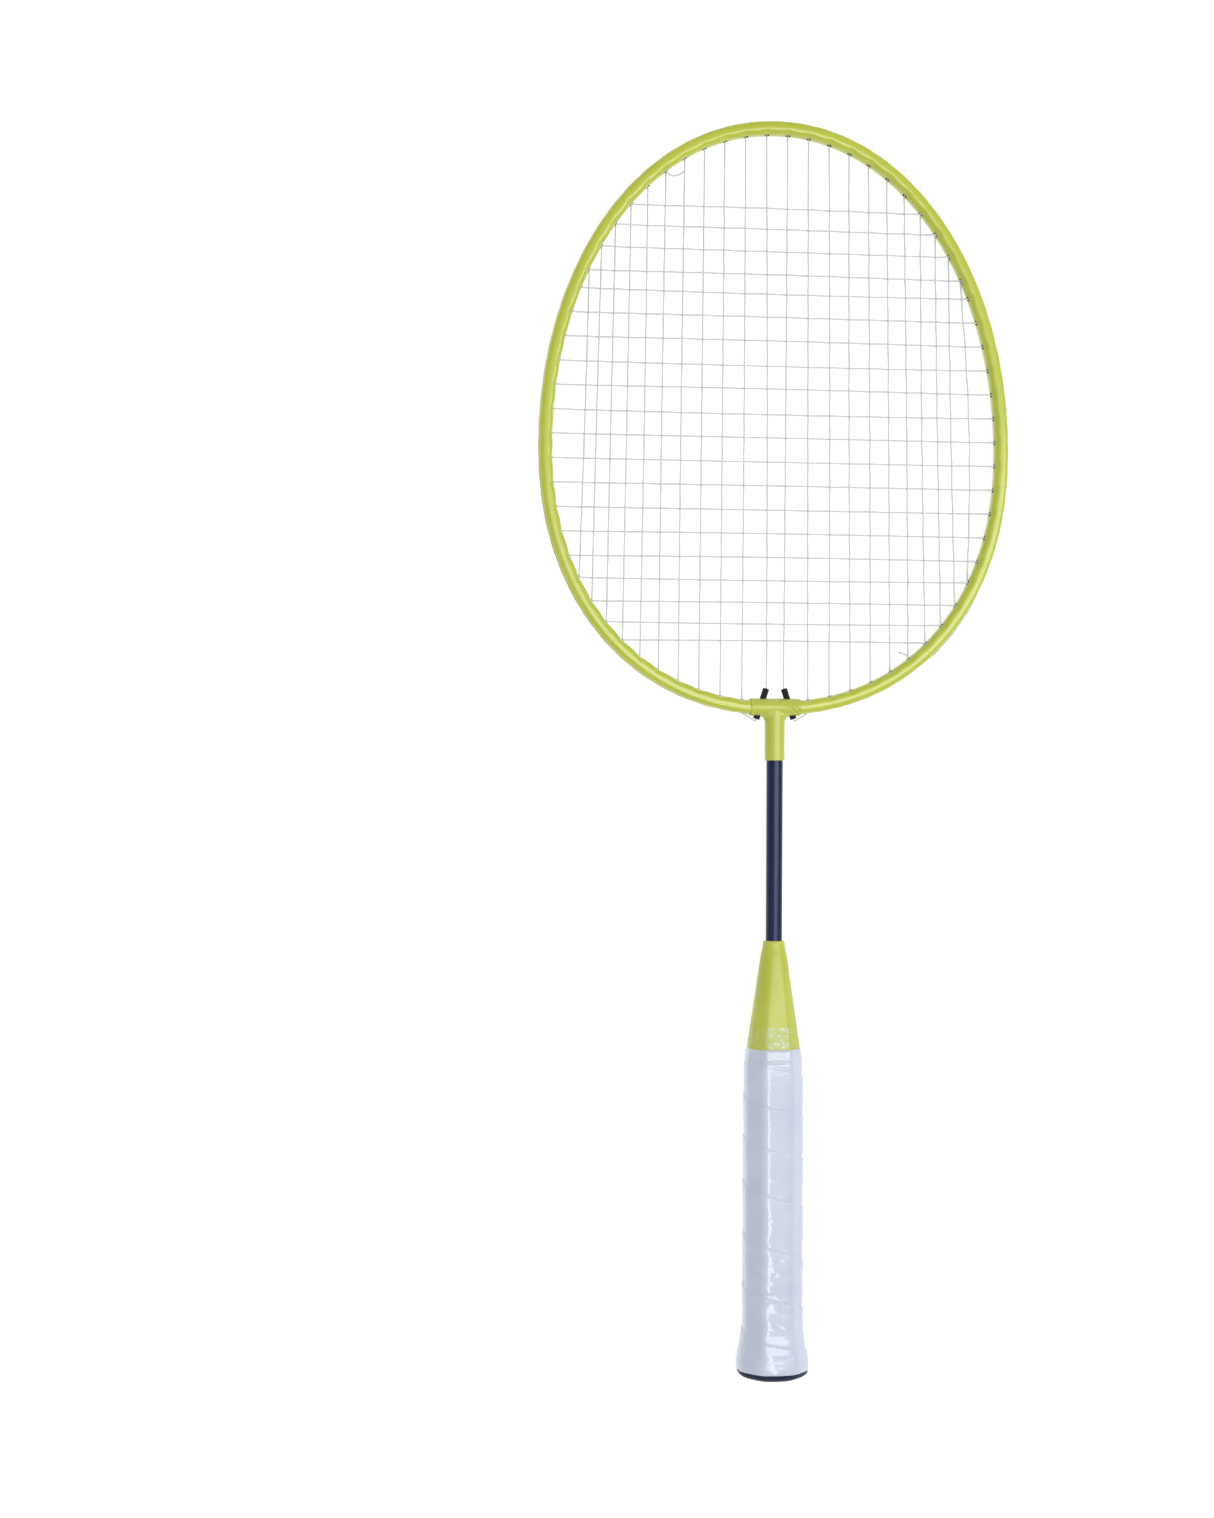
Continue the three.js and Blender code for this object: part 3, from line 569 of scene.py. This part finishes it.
def paint_bore_shade(shell):
    """Gives the walls of the string holes the near-black painted shade material, which stands for the shade
    inside them where bare steel is left.
    """
    count = len(shell.data.polygons)
    middles, normals = np.empty(count * 3), np.empty(count * 3)
    shell.data.polygons.foreach_get("center", middles)
    shell.data.polygons.foreach_get("normal", normals)
    middles, normals = middles.reshape(-1, 3), normals.reshape(-1, 3)
    is_bore = np.zeros(count, dtype=bool)
    for angle in string_holes:
        for side in (-1, 1):
            axis = head_normal(angle) * (side, 1, 1)
            offset = middles - to_metres(at_hole(angle, 0, 0, side))
            along = offset @ axis
            away = np.linalg.norm(offset - np.outer(along, axis), axis=1)
            is_near = (away < HOLE_RADIUS * MM * 1.02) & (np.abs(along) < BORE_REACH * MM)
            is_bore |= is_near & (np.abs(normals @ axis) < 0.3)
    shell.data.polygons.foreach_set("material_index", is_bore.astype(np.int32))
    shell.data.update()


# ---------------------------------------------------------------- throat

CREASE_DEPTH = 0.6
CREASE_HALF_WIDTH = 0.34
CREASE_LOWEST_Z = 1.2
VOXEL = 0.2
RIBS = 17


def throat_ends(side, extra):
    top = np.array(THROAT_TUBE_TOP) * (side, 1, 1)
    bottom = np.array(THROAT_TUBE_BOTTOM) * (side, 1, 1)
    stretch = (top - bottom) / np.linalg.norm(top - bottom) * extra
    return bottom - stretch, top + stretch


def throat_bar(name, side, radius, extra):
    return bar(name, *throat_ends(side, extra), radius, 24)


def pressed_oval(piece):
    """Makes the round sleeve oval, deeper through the racket, to fit the frame tube."""
    middle = to_metres((0, SOCKET_Y, 0))[1]
    for vertex in piece.data.vertices:
        vertex.co.y = middle + (vertex.co.y - middle) * SLEEVE_PRESS
        vertex.co.z = PLANE_Z + (vertex.co.z - PLANE_Z) * SLEEVE_DEPTH_RATIO
    return piece


def t_joint():
    """Sleeve, stem and fillets grown together as one casting, then bored and creased."""
    half = np.array([SLEEVE_HALF_LENGTH, 0, 0])
    socket = np.array([0, SOCKET_Y, 0])
    sleeve = pressed_oval(bar("sleeve", socket - half, socket + half, SLEEVE_RADIUS, 64))
    stem = bar("stem", (0, STEM_BOTTOM_Y, 0), (0, SOCKET_Y, 0), STEM_RADIUS, 64)
    fillet_profile = [
        (STEM_RADIUS, -6.6), (4.5, -5.3), (5.2, -4.3), (6.6, -3.5), (6.6, -1), (0.5, -1), (0.5, -6.6),
    ]
    fillet = turned("fillet", [(r, SOCKET_Y + y) for r, y in fillet_profile])
    for vertex in fillet.data.vertices:
        vertex.co.z = PLANE_Z + (vertex.co.z - PLANE_Z) * 0.6
    body = join("t_casting", [sleeve, stem, fillet])
    remesh = body.modifiers.new("grow", "REMESH")
    remesh.mode = "VOXEL"
    remesh.voxel_size = VOXEL * MM
    soften = body.modifiers.new("soften", "SMOOTH")
    soften.iterations = 5
    apply_modifiers(body)
    bore_half = np.array([SLEEVE_HALF_LENGTH + 1, 0, 0])
    cut(body, pressed_oval(bar("bore", socket - bore_half, socket + bore_half, SLEEVE_BORE, 48)))
    cut(body, bar("stem_bore", (0, STEM_BOTTOM_Y - 1, 0), (0, SOCKET_Y, 0), SHAFT_RADIUS + 0.12, 48))
    for side in (-1, 1):
        cut(body, throat_bar("tube_bore", side, THROAT_TUBE_RADIUS + 0.08, 3))
    crease(body, (5.9, 1.7), (10.3, -2.0))
    crease(body, (3.8, 1.1), (9.2, -2.6))
    soft_edges(body, 40)
    return dress(body, joint_paint(), "joint_paint", "t_joint")


def crease(body, start, end):
    """Presses a shallow line into the sleeve's upper wall, between two points measured from its middle."""
    start, end = np.array(start), np.array(end)
    run = end - start
    for vertex in body.data.vertices:
        if vertex.co.z <= PLANE_Z + CREASE_LOWEST_Z * MM:
            continue
        spot = np.array([vertex.co.x, vertex.co.y - BUTT_Y]) / MM - (0, SOCKET_Y)
        share = min(1, max(0, np.dot(spot - start, run) / np.dot(run, run)))
        away = np.linalg.norm(spot - start - run * share)
        vertex.co.z -= CREASE_DEPTH * MM * math.exp(-((away / CREASE_HALF_WIDTH) ** 2))


def throat_tube(name, side, material):
    """Short ribbed rubber tube that guards a main string where it passes through the joint."""
    bottom, top = throat_ends(side, 0)
    steps = 110
    along = np.linspace(0, 1, steps)
    ribs = 0.09 * np.sin(along * TAU * RIBS)
    flare = 0.048 * (np.exp(-(along / 0.03) ** 2) + np.exp(-((1 - along) / 0.03) ** 2))
    outer = THROAT_TUBE_RADIUS - 0.05 + ribs + flare
    path = np.concatenate([along, along[::-1]])
    radii = np.concatenate([outer, np.full(steps, THROAT_TUBE_BORE)])
    axis = (top - bottom) / np.linalg.norm(top - bottom)
    across = np.cross(axis, (0, 0, 1))
    angles = np.arange(28) * TAU / 28
    circle = np.outer(np.cos(angles), across) + np.outer(np.sin(angles), (0, 0, 1))
    rings = bottom + (top - bottom) * path[:, None, None] + circle[None] * radii[:, None, None]
    tube = closed_ring(name + "_ribbed", rings)
    return dress(tube, material, "tube_rubber", name)


# ---------------------------------------------------------------- strings

WEAVE_SHARE = 0.38
OUTER_MAIN_BOW = -2.4


def main_side(column):
    return -1 if column < MAINS_PER_SIDE else 1


def main_index(column):
    return MAINS_PER_SIDE - 1 - column if column < MAINS_PER_SIDE else column - MAINS_PER_SIDE


def main_top(column):
    angle = top_holes[main_index(column)]
    side = main_side(column)
    return [at_hole(angle, MOUTH, MAIN_Z, side), at_hole(angle, IN_GROOVE, MAIN_Z, side)]


def main_bottom(column):
    side = main_side(column)
    if main_index(column) == 0:
        return [throat_ends(side, 0.4)[1], throat_ends(side, 1.1)[0]]
    angle = bottom_holes[main_index(column)]
    return [at_hole(angle, MOUTH, MAIN_Z, side), at_hole(angle, IN_GROOVE, MAIN_Z, side)]


def crosses_main(row, column):
    y = at_hole(cross_holes[row], MOUTH)[1]
    return main_bottom(column)[0][1] + 2 < y < main_top(column)[0][1] - 2


def weave_sign(row, column):
    return 1 if (row + column) % 2 == 0 else -1


def woven(points, lifts, sag):
    """Fills in a string between its crossings with a smooth wave and a slight sideways bow."""
    filled = [points[0]]
    steps = 6
    total = np.linalg.norm(points[-1] - points[0])
    across = np.cross(points[-1] - points[0], (0, 0, 1)) / total
    for a, b, lift_a, lift_b in zip(points, points[1:], lifts, lifts[1:]):
        for i in range(1, steps + 1):
            t = i / steps
            wave = (1 - math.cos(math.pi * t)) / 2
            point = a + (b - a) * t
            point = point + np.array([0, 0, lift_a + (lift_b - lift_a) * wave])
            along = np.linalg.norm(point - points[0]) / total
            filled.append(point + across * sag * math.sin(math.pi * min(along, 1)))
    return filled


def rounded(points, radius=0.7):
    """Turns each sharp corner of a route into a short curve, as drawn string takes."""
    points = [np.asarray(p, dtype=float) for p in points]
    made = [points[0]]
    for before, corner, after in zip(points, points[1:], points[2:]):
        into, out = corner - before, after - corner
        long_in, long_out = np.linalg.norm(into), np.linalg.norm(out)
        into, out = into / long_in, out / long_out
        if np.dot(into, out) > 0.97:
            made.append(corner)
            continue
        start = corner - into * min(radius, long_in * 0.45)
        end = corner + out * min(radius, long_out * 0.45)
        for t in np.linspace(0, 1, 6):
            made.append(start * (1 - t) ** 2 + corner * 2 * t * (1 - t) + end * t**2)
    made.append(points[-1])
    return made


def main_line(column):
    """One main from its top mouth to its bottom mouth, waving over and under the crosses."""
    top, bottom = main_top(column)[0], main_bottom(column)[0]
    points, lifts = [top], [0]
    for row in range(CROSSES):
        if crosses_main(row, column):
            y = at_hole(cross_holes[row], MOUTH)[1]
            points.append(top + (bottom - top) * (top[1] - y) / (top[1] - bottom[1]))
            lifts.append(-WEAVE_SHARE * weave_sign(row, column))
    bow = rng.uniform(-0.35, 0.35)
    if column == 2 * MAINS_PER_SIDE - 1:
        bow = OUTER_MAIN_BOW
    return woven([*points, bottom], [*lifts, 0], bow)


def main_string(material):
    tie = cross_holes[CROSSES - SHARED_CROSSES - 1]
    points = [at_hole(tie, -TUBE_HALF_WIDTH + 1, MAIN_Z, -1), at_hole(tie, IN_GROOVE, MAIN_Z, -1)]
    for column in range(2 * MAINS_PER_SIDE):
        line = [main_top(column)[1], *main_line(column), main_bottom(column)[1]]
        points += line[::-1] if column % 2 == 0 else line
    passed = bottom_holes[MAINS_PER_SIDE - SHARED_CROSSES:-1][::-1]
    entry = bottom_holes[MAINS_PER_SIDE - SHARED_CROSSES - 1]
    first = at_hole(bottom_holes[-1], OVER_GROOVE)
    points.append(first + (at_hole(passed[0], OVER_GROOVE) - first) * 0.6)
    points += [at_hole(angle, OVER_GROOVE) for angle in passed]
    end = at_hole(entry, MOUTH, CROSS_Z)
    points += [at_hole(entry, IN_GROOVE, CROSS_Z), end]
    points += [end + (-0.9, 1.35, 0.2), end + (-2.3, 2.0, 0.35), end + (-4.6, 2.6, 0.4)]
    string = sweep("main_string_woven", rounded(points), STRING_RADIUS, 10)
    return dress(string, material, "string_nylon", "main_string")


def cross_line(row):
    """One cross from left to right."""
    y = at_hole(cross_holes[row], MOUTH)[1]
    points, lifts = [at_hole(cross_holes[row], MOUTH, CROSS_Z, -1)], [0]
    for column in range(2 * MAINS_PER_SIDE):
        if crosses_main(row, column):
            top, bottom = main_top(column)[0], main_bottom(column)[0]
            point = top + (bottom - top) * (top[1] - y) / (top[1] - bottom[1])
            points.append(point)
            lifts.append(WEAVE_SHARE * weave_sign(row, column))
    points.append(at_hole(cross_holes[row], MOUTH, CROSS_Z, 1))
    return woven(points, [*lifts, 0], rng.uniform(-0.45, 0.45))


def cross_string(material):
    tail_hole = top_holes[MAINS_PER_SIDE - SHARED_CROSSES - 2]
    mouth = at_hole(tail_hole, MOUTH, CROSS_Z, -1)
    tail = [(7.9, 0.5), (6.8, -0.35), (5.6, -1.1), (4.4, -1.6), (3.2, -1.8), (2.1, -1.65), (1.1, -1.1)]
    points = [mouth + (x, y, 0.1) for x, y in tail]
    points += [mouth, at_hole(tail_hole, IN_GROOVE, CROSS_Z, -1)]
    points.append(at_hole(top_holes[MAINS_PER_SIDE - SHARED_CROSSES - 1], IN_GROOVE, CROSS_Z, -1))
    for row in range(CROSSES):
        angle = cross_holes[row]
        start, end = (at_hole(angle, IN_GROOVE, CROSS_Z, side) for side in (-1, 1))
        line = [start, *cross_line(row), end]
        points += line if row % 2 == 0 else line[::-1]
    tie = bottom_holes[MAINS_PER_SIDE - SHARED_CROSSES - 1]
    points += [at_hole(tie, IN_GROOVE, CROSS_Z, -1), at_hole(tie, -TUBE_HALF_WIDTH + 1, CROSS_Z, -1)]
    string = sweep("cross_string_woven", rounded(points), STRING_RADIUS, 10)
    return dress(string, material, "string_nylon", "cross_string")


# ---------------------------------------------------------------- handle


SIDE_FLAT = math.tan(math.pi / 8)
FRONT_FLAT = SIDE_FLAT * FRONT_FLAT_RATIO
CHAMFER_TURN = math.atan2(1 - SIDE_FLAT, 1 - FRONT_FLAT)
CHAMFER_OUT = FRONT_FLAT * math.sin(CHAMFER_TURN) + math.cos(CHAMFER_TURN)
EDGE_SHARPNESS = 22
CORE_SHARPNESS = 200


def eight_sided(angle, sharpness):
    """Radius of the eight-sided section with half width 1. Angle 0 is the front flat.

    A lower sharpness softens the edges more.
    """
    total = np.zeros_like(angle)
    for turn, out in ((0, 1), (QUARTER, 1), (CHAMFER_TURN, CHAMFER_OUT), (-CHAMFER_TURN, CHAMFER_OUT)):
        total += np.abs(np.cos(angle - turn) / out) ** sharpness
    return total ** (-1 / sharpness)


def loft(stations, sides, roundness=0.0, sharpness=EDGE_SHARPNESS):
    """Rings along the handle from (half width, y) stations. Roundness 0 is eight-sided and 1 is oval."""
    angles = np.arange(sides) * TAU / sides
    rings = []
    for (half, y), round_share in zip(stations, np.broadcast_to(roundness, len(stations))):
        r = half * (eight_sided(angles, sharpness) * (1 - round_share) + round_share)
        x, z = r * np.sin(angles), r * np.cos(angles) * DEPTH_RATIO
        rings.append(np.column_stack([x, np.full(sides, y), z]))
    return np.array(rings)


def profile_at(profile, ys):
    """Half widths at the heights ys from a list of (half width, y) points."""
    points = sorted((y, half) for half, y in profile)
    return np.interp(ys, [p[0] for p in points], [p[1] for p in points])


CONE_PROFILE = [
    (10.85, CONE_BASE_Y), (10.4, 143.1), (5.6, 178.6), (4.95, 181.4), (4.72, 182.6),
    (4.65, 183.6), (4.55, 184.3), (4.3, 184.75), (3.95, CONE_TOP_Y),
]
WRAP_PROFILE = [
    (15.2, WRAP_BOTTOM_Y), (15.4, 5.8), (15.4, 7.2), (15.1, 9.2), (14.4, 13), (13.6, 17.2),
    (12.9, 21), (12.6, 27), (12.4, 124), (12.15, 134), (11.4, 139.1), (11.1, WRAP_LIP_Y),
]
# How far the grip's inner wall lies inside its outline. The wall itself is thinner than this by half of
# STRIP_STEP and by the relief, and the inner wall stays clear of the flats of the core.
WRAP_THICKNESS = [(0.95, WRAP_BOTTOM_Y), (1.15, 7), (1.15, 124), (0.9, WRAP_LIP_Y)]


def shaft():
    """Steel tube, drilled across for the nail that pins it in the handle."""
    tube = bar("shaft_tube", (0, SHAFT_BOTTOM_Y, 0), (0, SHAFT_TOP_Y, 0), SHAFT_RADIUS, 72)
    cut(tube, bar("shaft_bore", (0, SHAFT_BOTTOM_Y - 1, 0), (0, SHAFT_TOP_Y + 1, 0), SHAFT_BORE, 72))
    reach = SHAFT_RADIUS + 1
    cut(tube, bar("pin_bore", (-reach, PIN_Y, 0), (reach, PIN_Y, 0), PIN_RADIUS + GAP, 24))
    soft_edges(tube)
    return dress(tube, shaft_paint(), "shaft_paint", "shaft")


# The cone turns from eight-sided to round between its base and its tip.
CONE_ROUND_FROM_Y, CONE_ROUND_SHORT = 150, 154


def cone():
    ys = np.concatenate([np.linspace(CONE_BASE_Y, 181, 60), np.linspace(181.3, CONE_TOP_Y, 14)])
    halves = profile_at(CONE_PROFILE, ys)
    roundness = np.clip((ys - CONE_ROUND_FROM_Y) / (CONE_TOP_Y - CONE_ROUND_SHORT), 0, 1)
    outside = loft(list(zip(halves, ys)), 144, roundness)
    seat_radius, seat_top_y = SPIGOT_RADIUS + GAP, SPIGOT_TOP_Y + 2 * GAP
    bore_radius = SHAFT_RADIUS + 0.1
    inside = loft([
        (bore_radius, CONE_TOP_Y), (bore_radius, seat_top_y),
        (seat_radius, seat_top_y), (seat_radius, CONE_BASE_Y),
    ], 144, 1)
    inside[:, :, 2] /= DEPTH_RATIO
    shell = closed_ring("cone_shell", np.concatenate([outside, inside]))
    soft_edges(shell, 30)
    return dress(shell, cone_plastic(), "cone_plastic", "cone")


STRIP_PITCH = 19.0
STRIP_STEP = 0.32
# Shares of one turn at which the strip's edge steps down, and over which it does.
EDGE_START, EDGE_LENGTH = 0.97, 0.03
LOOSE_Y, LOOSE_SPREAD = 38, 26


def wrap_relief(angle, y):
    """Height of the wound strip's overlap and wrinkles over the plain grip, in millimetres."""
    turn = (y / STRIP_PITCH + angle / TAU + 0.15 * math.sin(y * 0.05)) % 1
    overlap = STRIP_STEP * (turn - 0.5)
    if turn > EDGE_START:
        overlap = STRIP_STEP * (0.47 - (turn - EDGE_START) / EDGE_LENGTH * 0.97)
    crease = -0.16 * math.exp(-((min(turn, 1 - turn) / 0.02) ** 2))
    around = (math.sin(angle) * 12, math.cos(angle) * 12)
    loose = 0.35 + 0.65 * math.exp(-(((y - LOOSE_Y) / LOOSE_SPREAD) ** 2))
    broad = noise.noise(Vector((around[0] / 7, y / 4.5 + turn, around[1] / 7)))
    fine = noise.noise(Vector((around[0] / 3.2, y / 1.6, around[1] / 3.2 + 9)))
    tape_edge = -0.28 * math.exp(-(((y - TAPE_BOTTOM_Y) / 0.6) ** 2))
    untaped = min(1, max(0, (TAPE_BOTTOM_Y + 1 - y) / 6))
    return (overlap + crease) * untaped + tape_edge + loose * (0.22 * broad + 0.07 * fine)


def grip_wrap():
    ys = np.linspace(WRAP_BOTTOM_Y, WRAP_LIP_Y, 560)
    sides = 180
    halves = profile_at(WRAP_PROFILE, ys) - STRIP_STEP / 2
    flare_round = 0.5 * np.clip((24 - ys) / 18, 0, 1)
    outside = loft(list(zip(halves, ys)), sides, flare_round)
    for ring, y in zip(outside, ys):
        taper = min(1, (y - WRAP_BOTTOM_Y) / 2.5, (WRAP_LIP_Y - y) / 1.5)
        for c in range(sides):
            angle = c * TAU / sides
            out = wrap_relief(angle, y) * taper
            ring[c, 0] += out * math.sin(angle)
            ring[c, 2] += out * math.cos(angle)
    inner_ys = ys[::-4]
    halves = profile_at(WRAP_PROFILE, inner_ys) - profile_at(WRAP_THICKNESS, inner_ys)
    inside = loft(list(zip(halves, inner_ys)), sides, 0, CORE_SHARPNESS)
    wrap = closed_ring("grip_wound_strip", np.concatenate([outside, inside]))
    soft_edges(wrap, 60)
    return dress(wrap, grip_leatherette(), "grip_leatherette", "grip_wrap")


def finishing_tape():
    """Clear film pressed over the cone's base and the grip's top, with trapped bubbles."""
    film = 0.12
    ys = np.linspace(TAPE_BOTTOM_Y, TAPE_TOP_Y, 120)
    over_wrap = profile_at(WRAP_PROFILE, ys) + 0.12
    over_cone = profile_at(CONE_PROFILE, ys) + 0.06
    blend = np.clip((ys - WRAP_TOP_Y + 0.2) / 1.4, 0, 1)
    halves = over_wrap * (1 - blend) + over_cone * blend
    sides = 180
    angles = np.arange(sides) * TAU / sides
    outside = loft(list(zip(halves + film, ys)), sides)
    inside = loft(list(zip(halves, ys)), sides)
    for r, y in enumerate(ys):
        for c, angle in enumerate(angles):
            spot = Vector((math.sin(angle) * 6, y / 2.2, math.cos(angle) * 6))
            out = 0.06 * max(0, noise.noise(spot)) + 0.02 * noise.noise(spot * 3)
            for ring in (outside[r], inside[r]):
                ring[c, 0] += out * math.sin(angle)
                ring[c, 2] += out * math.cos(angle)
    film_sleeve = closed_ring("tape_film", np.concatenate([outside, inside[::-1]]))
    return dress(film_sleeve, clear_tape(), "clear_tape", "finishing_tape")


def butt_cap():
    rim_y = WRAP_BOTTOM_Y - GAP
    profile = [(0.6, 0.0), (4.5, 0.0), (7, 0.5), (9, 0.95), (11, 1.5), (12.5, 2.0), (13.6, 2.5),
               (14.4, 3.1), (14.8, 3.7), (14.9, rim_y), (5, rim_y), (5, 16), (0.6, 16)]
    grid = loft(profile, 144, [0.5] * 10 + [1] * 3)
    cap = capped_tube("butt_cap_moulded", grid)
    soft_edges(cap, 40)
    return dress(cap, cap_plastic(), "cap_plastic", "butt_cap")


def hidden_pieces():
    """Pieces inside the handle keep their CAD shape and get a real finish."""
    steel = bright_steel()
    for node, material in (("handle_core", core_wood()), ("handle_pin", steel), ("wrap_tack", steel)):
        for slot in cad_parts[node].material_slots:
            slot.material = material


# ---------------------------------------------------------------- the racket

nylon = string_nylon()
rubber = tube_rubber()
head_frame()
t_joint()
throat_tube("string_tube_left", -1, rubber)
throat_tube("string_tube_right", 1, rubber)
main_string(nylon)
cross_string(nylon)
shaft()
cone()
grip_wrap()
finishing_tape()
butt_cap()
hidden_pieces()

# ---------------------------------------------------------------- floor and light

# The racket rests on its flare and on the head's tip, so the floor rises towards the tip.
FLOOR_HALF = 6.0
FLARE_FLAT_INSET = 1.1 * MM
TIP_INSET = 3 * MM
flare_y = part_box("grip_wrap")[0].y + FLARE_FLAT_INSET
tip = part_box("head_frame")
floor_slope = math.atan2(tip[0].z, tip[1].y - TIP_INSET - flare_y)

bpy.ops.mesh.primitive_grid_add(x_subdivisions=8, y_subdivisions=8, size=2 * FLOOR_HALF)
floor = bpy.context.object
floor.name = "floor"
floor.rotation_euler = (floor_slope, 0, 0)
floor.location = (0, 0, -flare_y * math.tan(floor_slope) - 0.0001)
floor.data.materials.append(floor_paper())

world = bpy.data.worlds.new("studio")
bpy.context.scene.world = world
world.use_nodes = True
world.node_tree.nodes["Background"].inputs["Color"].default_value = (1, 1, 1, 1)
world.node_tree.nodes["Background"].inputs["Strength"].default_value = 0.44


def area_light(name, location, target, size, watts):
    data = bpy.data.lights.new(name, "AREA")
    data.shape = "RECTANGLE"
    data.size, data.size_y = size
    data.energy = watts
    light = bpy.data.objects.new(name, data)
    light.location = location
    aim = Vector(target) - Vector(location)
    light.rotation_euler = aim.to_track_quat("-Z", "Y").to_euler()
    bpy.context.scene.collection.objects.link(light)


area_light("key", (0.5, 0.05, 1.45), (0, 0, 0), (0.55, 1.7), 16)
area_light("fill", (-1.1, -0.3, 1.3), (0, 0, 0), (0.5, 1.6), 1.2)
area_light("overhead", (0.12, -0.55, 1.5), (0, -0.2, 0), (0.16, 0.6), 3)

bpy.context.scene.view_settings.view_transform = "Standard"
